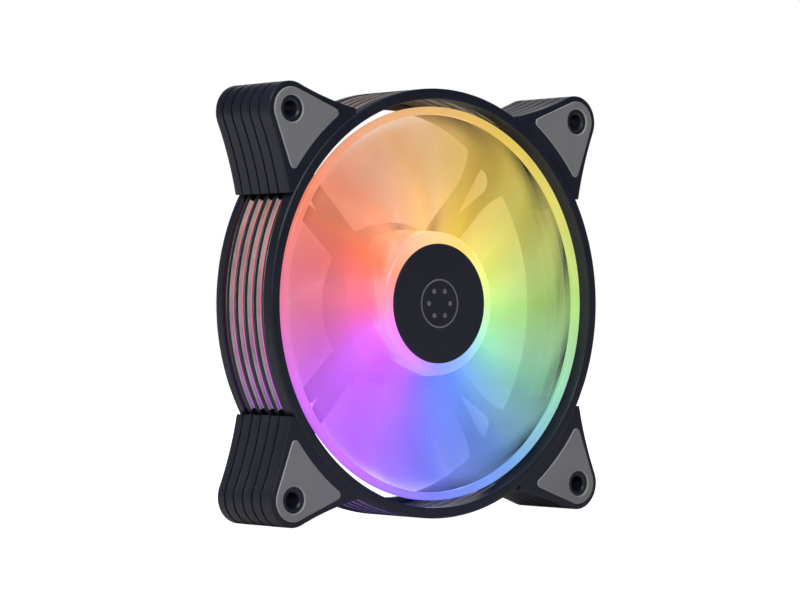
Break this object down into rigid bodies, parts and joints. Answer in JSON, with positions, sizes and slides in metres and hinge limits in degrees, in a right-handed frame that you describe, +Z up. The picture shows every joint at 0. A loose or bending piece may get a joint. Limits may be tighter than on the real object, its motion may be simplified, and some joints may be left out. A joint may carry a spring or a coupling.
{
  "type": "case fan",
  "caption": "Axial case fan with a ringed translucent rotor, a louvred duct wall, forked exhaust struts and square corner screw holes.",
  "frame": {"origin": "centre of the fan: on the rotor axis, half way between the intake and the exhaust face", "axes": "+Z up with the fan standing on edge, -Y is the way the intake face looks, +Y the way the air leaves, +X to the right seen from the intake side"},
  "size_m": [0.12, 0.025, 0.12],
  "materials": {
    "frame_plastic": "fine satin moulded ABS, near-black navy",
    "light_guide_plastic": "milky diffusing plastic",
    "pad_rubber": "matt mid-gray soft rubber",
    "rotor_plastic": "milky translucent plastic, lit from the hub",
    "badge_plastic": "smooth near-black disc with a plain printed ring",
    "motor_steel": "bright rolled steel",
    "stator_steel": "stacked silicon steel sheets",
    "magnet_ferrite": "dark bonded ferrite",
    "brass": "turned brass",
    "bronze": "oil-soaked sintered bronze",
    "nylon": "natural nylon",
    "seal_rubber": "black nitrile rubber",
    "insulator_plastic": "ivory moulded bobbin plastic",
    "copper_wire": "enamelled copper wire",
    "tinned_pins": "tinned wire",
    "board_laminate": "green solder mask on glass laminate",
    "chip_epoxy": "black moulded epoxy",
    "capacitor_ceramic": "tan ceramic",
    "led_package": "white package with a clear resin window",
    "label_foil": "blank silver-gray film"
  },
  "bodies": {
    "frame_body": {"frame": "frame_plastic", "side_light_guides": "light_guide_plastic", "front_corner_pads": "pad_rubber", "rear_corner_pads": "pad_rubber", "bearing_tube": "brass", "sleeve_bearing": "bronze", "oil_seal": "seal_rubber", "thrust_plate": "nylon", "stator_core": "stator_steel", "upper_insulator": "insulator_plastic", "lower_insulator": "insulator_plastic", "stator_coils": "copper_wire", "stator_pins": "tinned_pins", "circuit_board": "board_laminate", "driver_chip": "chip_epoxy", "hall_sensor": "chip_epoxy", "chip_capacitors": "capacitor_ceramic", "rgb_leds": "led_package", "rear_label": "label_foil"},
    "rotor": {"impeller": "rotor_plastic", "hub_badge": "badge_plastic", "rotor_yoke": "motor_steel", "magnet_ring": "magnet_ferrite", "shaft_bush": "brass", "rotor_shaft": "motor_steel", "slinger_washer": "nylon", "retaining_clip": "nylon"}
  },
  "joints": [
    {"name": "rotor_spin", "type": "hinge", "parent": "frame_body", "child": "rotor", "pos_m": [0, 0, 0], "axis": [0, 1, 0], "continuous": true}
  ]
}
